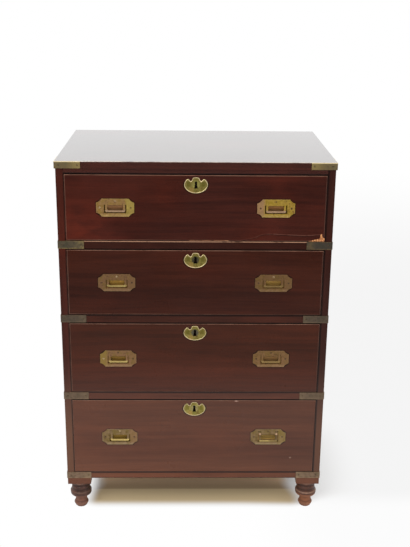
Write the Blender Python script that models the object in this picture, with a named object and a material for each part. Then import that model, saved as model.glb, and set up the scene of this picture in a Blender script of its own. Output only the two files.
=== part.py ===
"""Four-drawer campaign chest in mahogany, with flush brass handles and turned feet.

The case is two side boards housed round three divider rails and a base board, under an
overhanging top, with a boarded back in a rebate. Each drawer has lapped dovetails behind its
beaded front, a bottom in grooves, a cut lock with a sliding bolt, and two brass handles whose
bails lie flush in their pans. Brass straps wrap the corners and four turned feet are pegged
into the base.

X runs across the chest, -Y is its front and +Z is up. The origin is on the floor, under the
middle of the top board.
"""

import math

import bmesh
import bpy

# Fits
gap = 0.0003
overrun = 0.002

# Case
total_height = 1.0695
top_width = 0.760
top_depth = 0.515
top_thickness = 0.020
top_overhang = 0.003
top_edge_round = 0.0015
side_thickness = 0.021
top_rail_height = 0.0135
rail_depth = 0.055
divider_height = 0.0236
dust_board_thickness = 0.009
base_thickness = 0.021
housing_depth = 0.006
housing_setback = 0.010
back_thickness = 0.010
rebate_width = 0.010
back_board_count = 4
back_joint_width = 0.003
back_joint_depth = 0.002

# Feet
foot_block_width = 0.069
foot_block_height = 0.021
foot_turning_height = 0.0889
foot_bulb_radius = 0.0315
foot_peg_radius = 0.009
foot_peg_length = 0.014
foot_side_count = 20

# Corner straps
strap_thickness = 0.0012
strap_front_length = 0.072
strap_side_length = 0.068
strap_margin = 0.001
base_strap_margin = 0.0005
strap_corner_round = 0.0008

# Drawers
drawer_back_room = 0.022
drawer_top_gap = 0.002
drawer_bottom_gap = 0.0008
drawer_side_gap = 0.0008
front_thickness = 0.022
front_lap = 0.006
bead_width = 0.003
bead_height = 0.001
bead_round = 0.0006
lining_thickness = 0.011
lining_drop = 0.002
bottom_thickness = 0.008
bottom_height = 0.012
groove_depth = 0.005
tail_pitch = 0.046
pin_width = 0.004
dovetail_slope = 1 / 6
end_pin_height = 0.003
stop_width = 0.030
stop_height = 0.006
stop_depth = 0.012
stop_centre = 0.200

# Handles
handle_centre = 0.2188
plate_width = 0.103
plate_height = 0.050
plate_thickness = 0.0025
plate_corner_width = 0.0145
plate_corner_height = 0.011
plate_corner_sag = 0.0015
pin_radius = 0.0011
pin_length = 0.003
pin_depth = 0.0023
pin_rise = 0.0135
bail_width = 0.054
bail_thickness = 0.004
bail_leg_width = 0.0056
bail_bar_height = 0.0048
bail_corner_round = 0.0035
bail_inner_round = 0.002
bail_drop = 0.0124
bail_tail = 0.0048
slot_side_room = 0.0003
slot_end_room = 0.0004
pan_rise = 0.0084
pan_side_room = 0.0034
pan_bottom_room = 0.0027
pan_back_room = 0.0005
well_side_ledge = 0.0054
well_top_ledge = 0.001
well_bottom_ledge = 0.0028
well_depth = 0.0095
well_floor = 0.0015
cup_side_wall = 0.005
cup_end_wall = 0.002
lifted_bail_angle = math.radians(22.0)

# Locks and escutcheons
escutcheon_width = 0.065
escutcheon_height = 0.044
escutcheon_seat = 0.0012
escutcheon_rim_rise = 0.0011
escutcheon_edge_rise = 0.0005
escutcheon_field_rise = 0.0003
escutcheon_rim_width = 0.0028
keyhole_drop = 0.011
keyhole_length = 0.020
keyhole_radius = 0.0038
keyhole_neck = 0.0028
keyhole_foot = 0.0049
lock_width = 0.064
lock_height = 0.044
lock_thickness = 0.0127
key_room = 0.009
bolt_width = 0.022
bolt_thickness = 0.006
bolt_height = 0.0157
bolt_back_room = 0.0065
bolt_throw_room = 0.008
mortise_side_room = 0.0009

# Shapes that repeat, as shares of the sizes that they follow
opening_height_shares = (1872 / 8343, 1934 / 8343, 2151 / 8343, 2386 / 8343)
handle_drop_shares = (-0.003, 0.002, 0.009, 0.009)
escutcheon_drop_shares = (0.036, 0.041, 0.034, 0.028)
foot_profile_shares = (
    (1.000, 0.490),
    (0.972, 0.545),
    (0.935, 0.560),
    (0.925, 0.600),
    (0.895, 0.660),
    (0.845, 0.700),
    (0.790, 0.680),
    (0.735, 0.610),
    (0.690, 0.587),
    (0.645, 0.630),
    (0.590, 0.770),
    (0.545, 0.865),
    (0.530, 0.870),
    (0.505, 0.930),
    (0.440, 0.995),
    (0.370, 1.000),
    (0.290, 0.960),
    (0.215, 0.860),
    (0.160, 0.770),
    (0.140, 0.755),
    (0.110, 0.815),
    (0.060, 0.825),
    (0.020, 0.800),
)
escutcheon_edge_shares = (
    (0.120, 0.000),
    (0.210, 0.016),
    (0.275, 0.055),
    (0.318, 0.115),
    (0.352, 0.180),
    (0.390, 0.228),
    (0.432, 0.243),
    (0.480, 0.222),
    (0.545, 0.162),
    (0.605, 0.116),
    (0.670, 0.102),
    (0.750, 0.128),
    (0.860, 0.207),
    (0.948, 0.315),
    (1.000, 0.443),
)
well_profile_shares = (
    (0.00, 1.00),
    (0.20, 0.93),
    (0.45, 0.80),
    (0.70, 0.60),
    (0.90, 0.38),
    (1.00, 0.15),
    (1.00, 0.00),
)

# Levels and planes worked out from the sizes
turning_top = foot_turning_height
case_bottom = turning_top + foot_block_height
base_top = case_bottom + base_thickness
top_low = total_height - top_thickness
openings_top = top_low - top_rail_height
divider_count = len(opening_height_shares) - 1
openings_room = openings_top - base_top - divider_height * divider_count
opening_heights = [openings_room * share for share in opening_height_shares]
case_front = top_overhang - top_depth / 2
case_back = top_depth / 2
half_case = top_width / 2 - top_overhang
half_opening = half_case - side_thickness
back_front = case_back - back_thickness
drawer_length = back_front - case_front - drawer_back_room
half_front = half_opening - drawer_side_gap
half_inside = half_front - lining_thickness
half_bottom = half_inside + groove_depth
strap_height = divider_height - 2 * strap_margin
base_strap_height = base_thickness - 2 * base_strap_margin
bail_outer_drop = bail_drop + pin_rise
tail_reach = math.hypot(bail_tail, bail_thickness / 2)
slot_outer = bail_width / 2 + slot_side_room
slot_inner = bail_width / 2 - bail_leg_width - slot_side_room
slot_rise = pin_rise + tail_reach + slot_end_room
slot_depth = pin_depth + tail_reach + slot_end_room
pan_width = bail_width + 2 * pan_side_room
pan_drop = bail_drop + pan_bottom_room
pan_depth = pin_depth + bail_thickness / 2 + pan_back_room
channel_low = bail_bar_height + slot_side_room - bail_drop
well_width = pan_width - 2 * well_side_ledge
well_rise = pan_rise - well_top_ledge
well_drop = pan_drop - well_bottom_ledge
cup_depth = well_depth + well_floor
bolt_depth = front_thickness - bolt_back_room


def material(name, colour, roughness, metallic):
    """Make a Principled material."""
    made = bpy.data.materials.new(name)
    made.use_nodes = True
    shader = made.node_tree.nodes["Principled BSDF"]
    shader.inputs["Base Color"].default_value = (*colour, 1.0)
    shader.inputs["Roughness"].default_value = roughness
    shader.inputs["Metallic"].default_value = metallic
    return made


def piece(name, shape, finish, parent=None, origin=(0, 0, 0), turn=0):
    """Make a named solid. Its points are measured from its own origin."""
    bmesh.ops.recalc_face_normals(shape, faces=shape.faces)
    mesh = bpy.data.meshes.new(name)
    shape.to_mesh(mesh)
    shape.free()
    mesh.materials.append(finish)
    solid = bpy.data.objects.new(name, mesh)
    bpy.context.collection.objects.link(solid)
    solid.parent = parent
    solid.location = origin
    solid.rotation_euler.x = turn
    return solid


def work(target, name, shape, operation):
    """Join a hidden shape to a solid, or cut it away."""
    tool = piece(f"{target.name}_{name}", shape, target.data.materials[0], target)
    tool.display_type = "WIRE"
    tool.hide_render = True
    change = target.modifiers.new(name, "BOOLEAN")
    change.operation = operation
    change.solver = "EXACT"
    change.object = tool


def loft(loops, shape=None):
    """Skin a closed solid over loops that have the same number of points."""
    shape = shape or bmesh.new()
    rings = [[shape.verts.new(point) for point in loop] for loop in loops]
    for near, far in zip(rings, rings[1:]):
        for i in range(len(near)):
            j = (i + 1) % len(near)
            shape.faces.new((near[i], near[j], far[j], far[i]))
    shape.faces.new(reversed(rings[0]))
    shape.faces.new(rings[-1])
    return shape


def prism(outline, axis, low, high, shape=None):
    """Run an outline along X, Y or Z from one place to another."""
    order = {"X": (2, 0, 1), "Y": (0, 2, 1), "Z": (0, 1, 2)}[axis]
    loops = [[tuple((*point, place)[i] for i in order) for point in outline] for place in (low, high)]
    return loft(loops, shape)


def rectangle(left, right, low, high):
    """Give the outline of a rectangle."""
    return [(left, low), (right, low), (right, high), (left, high)]


def box(left, right, front, back, low, high, shape=None):
    """Make a rectangular block between three pairs of planes."""
    return prism(rectangle(left, right, front, back), "Z", low, high, shape)


def arc(centre, radii, start, end, steps):
    """Give points along an elliptical arc, both ends included."""
    turns = [start + (end - start) * i / steps for i in range(steps + 1)]
    return [(centre[0] + radii[0] * math.cos(t), centre[1] + radii[1] * math.sin(t)) for t in turns]


def circle(radius, count, centre=(0, 0)):
    """Give the outline of a circle, without repeating its first point."""
    return arc(centre, (radius, radius), 0, 2 * math.pi, count)[:-1]


def mirrored(half):
    """Close half an outline, drawn from top to bottom at +X, with its mirror image."""
    other = [(-x, z) for x, z in reversed(half) if x > 0]
    return half + other


def grown(outline, distance):
    """Move each side of an outline outwards by a distance, and inwards where it is negative."""
    count = len(outline)
    area = sum(outline[i - 1][0] * outline[i][1] - outline[i][0] * outline[i - 1][1] for i in range(count))
    turn = 1 if area > 0 else -1
    moved = []
    for i, (x, z) in enumerate(outline):
        before = outline[i - 1]
        after = outline[(i + 1) % count]
        first = math.atan2(z - before[1], x - before[0])
        second = math.atan2(after[1] - z, after[0] - x)
        bend = (second - first + math.pi) % (2 * math.pi) - math.pi
        middle = first + bend / 2
        reach = distance * turn / math.cos(bend / 2)
        moved.append((x + reach * math.sin(middle), z - reach * math.cos(middle)))
    return moved


def opening_levels():
    """Give each drawer opening's bottom, from the top drawer down."""
    levels = []
    level = openings_top
    for height in opening_heights:
        level -= height
        levels.append(level)
        level -= divider_height
    return levels


def bolt_mortise(rail_bottom):
    """Cut the pocket above a lock where the bolt shoots into the rail."""
    half_width = bolt_width / 2 + mortise_side_room
    half_depth = bolt_thickness / 2 + mortise_side_room
    middle = case_front + bolt_depth
    sides = (-half_width, half_width, middle - half_depth, middle + half_depth)
    return box(*sides, rail_bottom - overrun, rail_bottom + bolt_throw_room)


def add_stops(target, level):
    """Glue two blocks behind a drawer front, which stop it flush with the case."""
    blocks = bmesh.new()
    front = case_front + front_thickness + gap
    for centre in (-stop_centre, stop_centre):
        left = centre - stop_width / 2
        right = centre + stop_width / 2
        box(left, right, front, front + stop_depth, level - overrun, level + stop_height, blocks)
    work(target, "stops", blocks, "UNION")


def edge_round(level, radius, steps):
    """Give pairs of inset and level that round an upper edge over a quarter turn."""
    turns = [math.pi / 2 * i / steps for i in range(steps + 1)]
    return [(radius * (1 - math.cos(t)), level - radius * (1 - math.sin(t))) for t in turns]


def make_top():
    """Make the top board, with the rail that is glued under its front edge."""
    loops = []
    for inset, level in [(0, top_low), *edge_round(top_low + top_thickness, top_edge_round, 2)]:
        half = top_width / 2 - inset
        front = inset - top_depth / 2
        loops.append([(x, y, level) for x, y in rectangle(-half, half, front, -front)])
    board = piece("top_board", loft(loops), mahogany)
    rail_half = half_opening - gap
    rail_low = top_low - top_rail_height
    rail = box(-rail_half, rail_half, case_front, case_front + rail_depth, rail_low, top_low + overrun)
    work(board, "rail", rail, "UNION")
    work(board, "mortise", bolt_mortise(rail_low), "DIFFERENCE")


def rail_profile(top, margin=0):
    """Outline, in Y and Z, of a divider rail with its dust board, as it is housed in the sides."""
    front = case_front + housing_setback - margin
    rail_back = case_front + rail_depth + margin
    back = back_front - gap + margin
    high = top + margin
    low = top - divider_height - margin
    board_low = top - dust_board_thickness - margin
    under = [(front, low), (rail_back, low), (rail_back, board_low), (back, board_low)]
    return under + [(back, high), (front, high)]


def make_side(name, side):
    """Make a side board, with its housings and the rebate for the back."""
    inner = side * half_opening
    outer = side * half_case
    board = box(min(inner, outer), max(inner, outer), case_front, case_back, case_bottom, top_low - gap)
    board = piece(name, board, mahogany)
    housed = inner + side * housing_depth
    open_side = inner - side * overrun
    housings = bmesh.new()
    for level in opening_levels()[:-1]:
        outline = rail_profile(level, gap)
        prism(outline, "X", min(open_side, housed), max(open_side, housed), housings)
    work(board, "housings", housings, "DIFFERENCE")
    low = case_bottom - overrun
    base = rectangle(case_front + housing_setback - gap, back_front, low, base_top + gap)
    base = prism(base, "X", min(open_side, housed), max(open_side, housed))
    work(board, "base_housing", base, "DIFFERENCE")
    rebate = inner + side * rebate_width
    rebate = (min(open_side, rebate), max(open_side, rebate), back_front, case_back + overrun)
    work(board, "rebate", box(*rebate, low, top_low + overrun), "DIFFERENCE")


def make_back():
    """Make the back, of upright boards whose joints show as V grooves."""
    half = half_opening + rebate_width - gap
    outline = [(half, case_back), (half, back_front + gap), (-half, back_front + gap), (-half, case_back)]
    for i in range(1, back_board_count):
        joint = 2 * half * i / back_board_count - half
        outline.append((joint - back_joint_width / 2, case_back))
        outline.append((joint, case_back - back_joint_depth))
        outline.append((joint + back_joint_width / 2, case_back))
    piece("back_panel", prism(outline, "Z", case_bottom, top_low - gap), pine)


def make_divider(name, level):
    """Make a divider rail with its dust board and the stops for the drawer above."""
    half = half_opening - gap
    low = level - divider_height
    rail = box(-half, half, case_front, case_front + rail_depth, low, level)
    rail = piece(name, rail, mahogany)
    housed = half + housing_depth
    work(rail, "tongues", prism(rail_profile(level), "X", -housed, housed), "UNION")
    add_stops(rail, level)
    work(rail, "mortise", bolt_mortise(low), "DIFFERENCE")


def foot_places():
    """Give each foot's name and its centre in X and Y."""
    inset = foot_block_width / 2
    for end, y in (("front", case_front + inset), ("back", case_back - inset)):
        for hand, side in (("left", -1), ("right", 1)):
            yield f"foot_{end}_{hand}", side * (half_case - inset), y


def make_base():
    """Make the base board, which carries the bottom drawer and takes the feet's pegs."""
    half = half_opening - gap
    board = box(-half, half, case_front, back_front - gap, case_bottom, base_top)
    board = piece("base_board", board, mahogany)
    housed = half + housing_depth
    front = case_front + housing_setback
    work(board, "tongues", box(-housed, housed, front, back_front - gap, case_bottom, base_top), "UNION")
    add_stops(board, base_top)
    holes = bmesh.new()
    for name, x, y in foot_places():
        outline = circle(foot_peg_radius + gap, foot_side_count, (x, y))
        prism(outline, "Z", case_bottom - overrun, case_bottom + foot_peg_length, holes)
    work(board, "peg_holes", holes, "DIFFERENCE")


def make_foot(name, x, y):
    """Turn a foot, with its square block above and its peg in the base board."""
    inset = foot_block_width / 2
    top = case_bottom - gap
    outline = rectangle(-inset, inset, -inset, inset)
    foot = piece(name, prism(outline, "Z", turning_top, top), mahogany, None, (x, y, 0))
    stations = []
    for drop_share, width_share in foot_profile_shares:
        stations.append((foot_turning_height * (1 - drop_share), foot_bulb_radius * width_share))
    stations.append((turning_top + overrun, stations[-1][1]))
    stations.append((turning_top + overrun, foot_peg_radius))
    stations.append((top + foot_peg_length - gap, foot_peg_radius))
    loops = [[(*point, level) for point in circle(radius, foot_side_count)] for level, radius in stations]
    work(foot, "turning", loft(loops), "UNION")


def make_strap(name, side, middle, height):
    """Bend a brass strap round a front corner of the case."""
    inner_x = half_case + gap
    outer_x = inner_x + strap_thickness
    inner_y = case_front - gap
    outer_y = inner_y - strap_thickness
    end_x = outer_x - strap_front_length
    end_y = outer_y + strap_side_length
    round_centre = (outer_x - strap_corner_round, outer_y + strap_corner_round)
    corner = arc(round_centre, (strap_corner_round, strap_corner_round), -math.pi / 2, 0, 2)
    outside = [(end_x, outer_y), *corner, (outer_x, end_y)]
    inside = [(inner_x, end_y), (inner_x, inner_y), (end_x, inner_y)]
    outline = [(side * x, y) for x, y in outside + inside]
    piece(name, prism(outline, "Z", middle - height / 2, middle + height / 2), old_brass)


def plate_outline():
    """Outline of a handle plate, whose four corners are scooped."""
    half_width = plate_width / 2
    half_height = plate_height / 2
    steps = 4
    scoop = []
    for i in range(steps + 1):
        share = i / steps
        sag = plate_corner_sag * 4 * share * (1 - share)
        x = half_width - plate_corner_width * (1 - share) - sag * plate_corner_height / plate_corner_width
        z = half_height - plate_corner_height * share - sag
        scoop.append((x, z))
    lower = [(x, -z) for x, z in reversed(scoop)]
    return mirrored(scoop + lower)


def cup_outline():
    """Outline of the cup behind a handle plate, with an ear round the slot of each leg."""
    half = pan_width / 2 + cup_side_wall
    ear = slot_inner - cup_end_wall
    high = slot_rise + cup_end_wall
    low = -pan_drop - cup_end_wall
    return mirrored([(ear, pan_rise + cup_end_wall), (ear, high), (half, high), (half, low)])


def make_handle_plate(name, drawer, centre):
    """Cast a handle plate with a channel for its bail, a finger scoop and slots for the bail's legs."""
    plate = piece(name, prism(plate_outline(), "Y", 0, plate_thickness), brass, drawer, centre)
    work(plate, "cup", prism(cup_outline(), "Y", overrun / 2, cup_depth), "UNION")
    half = pan_width / 2
    inner = [(slot_inner, channel_low), (slot_inner, pan_rise)]
    channel = mirrored(inner + [(half, pan_rise), (half, -pan_drop)])
    work(plate, "pan", prism(channel, "Y", -overrun, pan_depth), "DIFFERENCE")
    half = well_width / 2
    well_height = well_rise + well_drop
    scoop = [(-overrun, -well_drop), (-overrun, well_rise)]
    for deep_share, high_share in well_profile_shares:
        scoop.append((well_depth * deep_share, well_height * high_share - well_drop))
    work(plate, "well", prism(scoop, "X", -half, half), "DIFFERENCE")
    slots = bmesh.new()
    bores = bmesh.new()
    bore = circle(pin_radius + gap, 8, (pin_depth, pin_rise))
    half = bail_width / 2
    for side in (-1, 1):
        sides = sorted((side * slot_inner, side * slot_outer))
        box(*sides, -overrun, slot_depth, 0, slot_rise, slots)
        ends = sorted((side * (half - bail_leg_width / 2), side * (half + pin_length + gap)))
        prism(bore, "X", *ends, bores)
    work(plate, "slots", slots, "DIFFERENCE")
    work(plate, "pin_bores", bores, "DIFFERENCE")


def bail_outline():
    """Outline of a bail round its pins: two legs, with tails above the pins, joined by a bar."""
    half = bail_width / 2
    low = -bail_outer_drop
    inner_half = half - bail_leg_width
    inner_low = bail_bar_height + low
    radius = bail_corner_round
    outer = arc((half - radius, low + radius), (radius, radius), 0, -math.pi / 2, 3)
    radius = bail_inner_round
    inner = arc((inner_half - radius, inner_low + radius), (radius, radius), -math.pi / 2, 0, 2)
    right = [(inner_half, bail_tail), (half, bail_tail), *outer]
    left = [(-x, z) for x, z in reversed(right)]
    return right + left + [(-x, z) for x, z in reversed(inner)] + inner


def make_bail(name, drawer, centre, turn):
    """Make a flush bail. Short pins on its legs swing in the plate, and their tails turn inwards."""
    loop = prism(bail_outline(), "Y", -bail_thickness / 2, bail_thickness / 2)
    bail = piece(name, loop, brass, drawer, centre, turn)
    half = bail_width / 2
    pins = bmesh.new()
    for side in (-1, 1):
        ends = sorted((side * (half - bail_leg_width / 2), side * (half + pin_length)))
        prism(circle(pin_radius, 8), "X", *ends, pins)
    work(bail, "pins", pins, "UNION")


def escutcheon_outline():
    """Outline of an escutcheon below its top edge: a crown, two scoops, two lobes and a round foot."""
    half = escutcheon_width / 2
    edge = [(half * wide, -escutcheon_height * low) for wide, low in escutcheon_edge_shares]
    shoulder = edge[-1][1]
    foot = arc((0, shoulder), (half, escutcheon_height + shoulder), 0, -math.pi / 2, 8)
    return mirrored(edge + foot[1:])


def keyhole_outline():
    """Outline of a keyhole below the escutcheon's top edge: a round head on a flared foot."""
    centre = -keyhole_drop - keyhole_radius
    start = math.pi / 2
    end = -math.acos(keyhole_neck / keyhole_radius)
    head = arc((0, centre), (keyhole_radius, keyhole_radius), start, end, 5)
    foot = (keyhole_foot, -keyhole_drop - keyhole_length)
    return mirrored(head + [foot])


def make_escutcheon(name, drawer, top):
    """Cast an escutcheon with a raised rim round its keyhole field."""
    outline = escutcheon_outline()
    crest = grown(outline, -escutcheon_rim_width / 2)
    field = grown(outline, -escutcheon_rim_width)
    layers = (
        (outline, escutcheon_seat - gap),
        (outline, -escutcheon_edge_rise),
        (crest, -escutcheon_rim_rise),
        (field, -escutcheon_field_rise),
    )
    loops = [[(x, y, z) for x, z in ring] for ring, y in layers]
    plate = piece(name, loft(loops), brass, drawer, (0, 0, top))
    work(plate, "keyhole", prism(keyhole_outline(), "Y", -overrun, overrun), "DIFFERENCE")


def make_lock(name, drawer, top, escutcheon_top):
    """Make a cut lock: its case is let into the back of the front, flush with its top edge."""
    back = front_thickness
    front = back - lock_thickness
    half = lock_width / 2
    case = piece(name, box(-half, half, front, back, -lock_height, 0), iron, drawer, (0, 0, top))
    half = bolt_width / 2 + gap
    half_depth = bolt_thickness / 2 + gap
    pocket = (-half, half, bolt_depth - half_depth, bolt_depth + half_depth)
    low = -bolt_height - 2 * gap
    work(case, "bolt_pocket", box(*pocket, low, overrun), "DIFFERENCE")
    outline = [(x, z + escutcheon_top - top) for x, z in grown(keyhole_outline(), gap)]
    work(case, "key_room", prism(outline, "Y", front - overrun, front + key_room), "DIFFERENCE")
    half = bolt_width / 2
    half_depth = bolt_thickness / 2
    bolt = box(-half, half, -half_depth, half_depth, -bolt_height, 0)
    piece(f"{name}_bolt", bolt, iron, drawer, (0, bolt_depth, top - gap))


def tail_places(low, high):
    """Give the middle of each dovetail up a drawer side, and half its width at the tip."""
    length = high - low - 2 * end_pin_height
    count = max(round(length / tail_pitch), 1)
    pitch = length / count
    for i in range(count):
        yield low + end_pin_height + pitch * (i + 1 / 2), (pitch - pin_width) / 2


def tails(low, high, margin, shape):
    """Add the dovetails of both drawer sides, or with a margin the sockets that they fit."""
    tip = front_lap + gap - margin
    root = front_thickness + gap
    taper = (root - tip) * dovetail_slope
    inner = half_inside - margin
    outer = half_front + (overrun if margin else 0)
    for middle, half_tip in tail_places(low, high):
        wide = half_tip + margin
        narrow = half_tip - taper + margin
        outline = [(tip, middle - wide), (root, middle - narrow), (root + overrun, middle - narrow),
                   (root + overrun, middle + narrow), (root, middle + narrow), (tip, middle + wide)]
        for side in (-1, 1):
            ends = sorted((side * inner, side * outer))
            prism(outline, "X", *ends, shape)
    return shape


def make_front(name, drawer, height, lining_high, handle_level, escutcheon_top):
    """Make a drawer front with its raised bead, and cut it for its joints and brasses."""
    low = drawer_bottom_gap
    high = height - drawer_top_gap
    layers = (
        (0, front_thickness),
        (0, bead_round - bead_height),
        (bead_round, -bead_height),
        (bead_width - bead_round, -bead_height),
        (bead_width, bead_round - bead_height),
        (bead_width, 0),
    )
    loops = []
    for inset, y in layers:
        half = half_front - inset
        loops.append([(x, y, z) for x, z in rectangle(-half, half, low + inset, high - inset)])
    front = piece(name, loft(loops), mahogany, drawer)
    sockets = tails(gap, lining_high, gap, bmesh.new())
    work(front, "sockets", sockets, "DIFFERENCE")
    groove = (front_thickness - groove_depth, front_thickness + overrun, bottom_height - gap)
    groove = box(-half_bottom, half_bottom, *groove, bottom_height + bottom_thickness + gap)
    work(front, "groove", groove, "DIFFERENCE")
    seats = bmesh.new()
    cups = bmesh.new()
    for side in (-1, 1):
        centre = side * handle_centre
        outline = [(x + centre, z + handle_level) for x, z in grown(plate_outline(), gap)]
        prism(outline, "Y", -overrun, plate_thickness + gap, seats)
        outline = [(x + centre, z + handle_level) for x, z in grown(cup_outline(), gap)]
        prism(outline, "Y", overrun / 2, cup_depth + gap, cups)
    work(front, "plate_seats", seats, "DIFFERENCE")
    work(front, "cup_pockets", cups, "DIFFERENCE")
    half = lock_width / 2 + gap
    pocket = (-half, half, front_thickness - lock_thickness - gap, front_thickness + overrun)
    pocket = box(*pocket, high - lock_height - gap, high + overrun)
    work(front, "lock_pocket", pocket, "DIFFERENCE")
    seat = [(x, z + escutcheon_top) for x, z in grown(escutcheon_outline(), gap)]
    work(front, "escutcheon_seat", prism(seat, "Y", -overrun, escutcheon_seat), "DIFFERENCE")
    keyhole = [(x, z + escutcheon_top) for x, z in grown(keyhole_outline(), gap)]
    work(front, "keyhole", prism(keyhole, "Y", 0, front_thickness), "DIFFERENCE")


def make_box(name, drawer, low, high):
    """Make a drawer's sides and back, whose tails fit the front's sockets."""
    root = front_thickness + gap
    inner_back = drawer_length - lining_thickness
    outline = [
        (-half_front, root),
        (-half_inside, root),
        (-half_inside, inner_back),
        (half_inside, inner_back),
        (half_inside, root),
        (half_front, root),
        (half_front, drawer_length),
        (-half_front, drawer_length),
    ]
    linings = piece(name, prism(outline, "Z", low, high), cedar, drawer)
    work(linings, "tails", tails(low, high, 0, bmesh.new()), "UNION")
    groove_low = bottom_height - gap
    groove_high = bottom_height + bottom_thickness + gap
    outline = [
        (half_inside, low - overrun),
        (half_inside, groove_low),
        (half_bottom, groove_low),
        (half_bottom, groove_high),
        (-half_bottom, groove_high),
        (-half_bottom, groove_low),
        (-half_inside, groove_low),
        (-half_inside, low - overrun),
    ]
    work(linings, "groove", prism(outline, "Y", 0, drawer_length + overrun), "DIFFERENCE")


def make_drawer(number, level, height):
    """Make one drawer, measured from the middle of its opening's lower front edge."""
    name = f"drawer_{number}"
    drawer = bpy.data.objects.new(name, None)
    bpy.context.collection.objects.link(drawer)
    drawer.location = (0, case_front, level)
    high = height - drawer_top_gap
    lining_high = high - lining_drop
    middle = (high + gap) / 2 - height * handle_drop_shares[number - 1]
    escutcheon_top = high - height * escutcheon_drop_shares[number - 1]
    make_front(f"{name}_front", drawer, height, lining_high, middle, escutcheon_top)
    make_box(f"{name}_box", drawer, gap, lining_high)
    half = half_bottom - gap
    front = front_thickness - groove_depth + gap
    bottom = box(-half, half, front, drawer_length, bottom_height, bottom_height + bottom_thickness)
    piece(f"{name}_bottom", bottom, pine, drawer)
    make_escutcheon(f"{name}_escutcheon", drawer, escutcheon_top)
    make_lock(f"{name}_lock", drawer, high, escutcheon_top)
    for hand, side in (("left", -1), ("right", 1)):
        centre = side * handle_centre
        make_handle_plate(f"{name}_handle_plate_{hand}", drawer, (centre, 0, middle))
        lifted = number == len(opening_heights) and hand == "right"
        turn = -lifted_bail_angle if lifted else 0
        make_bail(f"{name}_bail_{hand}", drawer, (centre, pin_depth, middle + pin_rise), turn)


for old in list(bpy.data.objects):
    bpy.data.objects.remove(old)

mahogany = material("mahogany", (0.105, 0.035, 0.022), 0.32, 0.0)
cedar = material("cedar_lining", (0.36, 0.20, 0.11), 0.60, 0.0)
pine = material("pine_board", (0.42, 0.28, 0.15), 0.70, 0.0)
brass = material("handle_brass", (0.42, 0.29, 0.09), 0.35, 1.0)
old_brass = material("strap_brass", (0.16, 0.12, 0.06), 0.45, 1.0)
iron = material("lock_iron", (0.12, 0.11, 0.10), 0.50, 1.0)

make_top()
make_side("case_side_left", -1)
make_side("case_side_right", 1)
make_back()
make_base()
for foot_name, foot_x, foot_y in foot_places():
    make_foot(foot_name, foot_x, foot_y)
levels = opening_levels()
for number, (level, height) in enumerate(zip(levels, opening_heights), 1):
    make_drawer(number, level, height)
for number, level in enumerate(levels[:-1], 1):
    make_divider(f"divider_{number}", level)
    make_strap(f"strap_{number}_left", -1, level - divider_height / 2, strap_height)
    make_strap(f"strap_{number}_right", 1, level - divider_height / 2, strap_height)
make_strap("strap_base_left", -1, base_top - base_thickness / 2, base_strap_height)
make_strap("strap_base_right", 1, base_top - base_thickness / 2, base_strap_height)
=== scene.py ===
"""Four-drawer mahogany campaign chest with flush brass handles, lit for a photograph."""

import math

import bpy
import numpy as np
from mathutils import Matrix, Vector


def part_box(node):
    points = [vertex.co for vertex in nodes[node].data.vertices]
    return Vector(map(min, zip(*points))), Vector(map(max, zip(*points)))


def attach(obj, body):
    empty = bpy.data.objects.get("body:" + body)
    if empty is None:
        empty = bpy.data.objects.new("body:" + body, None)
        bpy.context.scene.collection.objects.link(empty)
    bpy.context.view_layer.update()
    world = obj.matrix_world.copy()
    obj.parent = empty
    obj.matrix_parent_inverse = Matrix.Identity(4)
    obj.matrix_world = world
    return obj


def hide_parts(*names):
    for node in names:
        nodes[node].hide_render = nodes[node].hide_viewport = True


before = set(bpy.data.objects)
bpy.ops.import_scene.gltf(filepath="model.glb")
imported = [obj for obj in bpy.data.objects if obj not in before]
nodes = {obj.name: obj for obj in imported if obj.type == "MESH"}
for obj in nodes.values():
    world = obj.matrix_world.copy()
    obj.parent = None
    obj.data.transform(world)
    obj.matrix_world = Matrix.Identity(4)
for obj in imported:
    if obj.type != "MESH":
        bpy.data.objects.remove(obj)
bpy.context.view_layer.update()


# The case: two sides, a top board with a rail under its front edge, three divider rails and a
# base board, all of mahogany with the grain along each board. The french polish is old, dark and
# glossy, and rubbed pale along the arrises.

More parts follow.
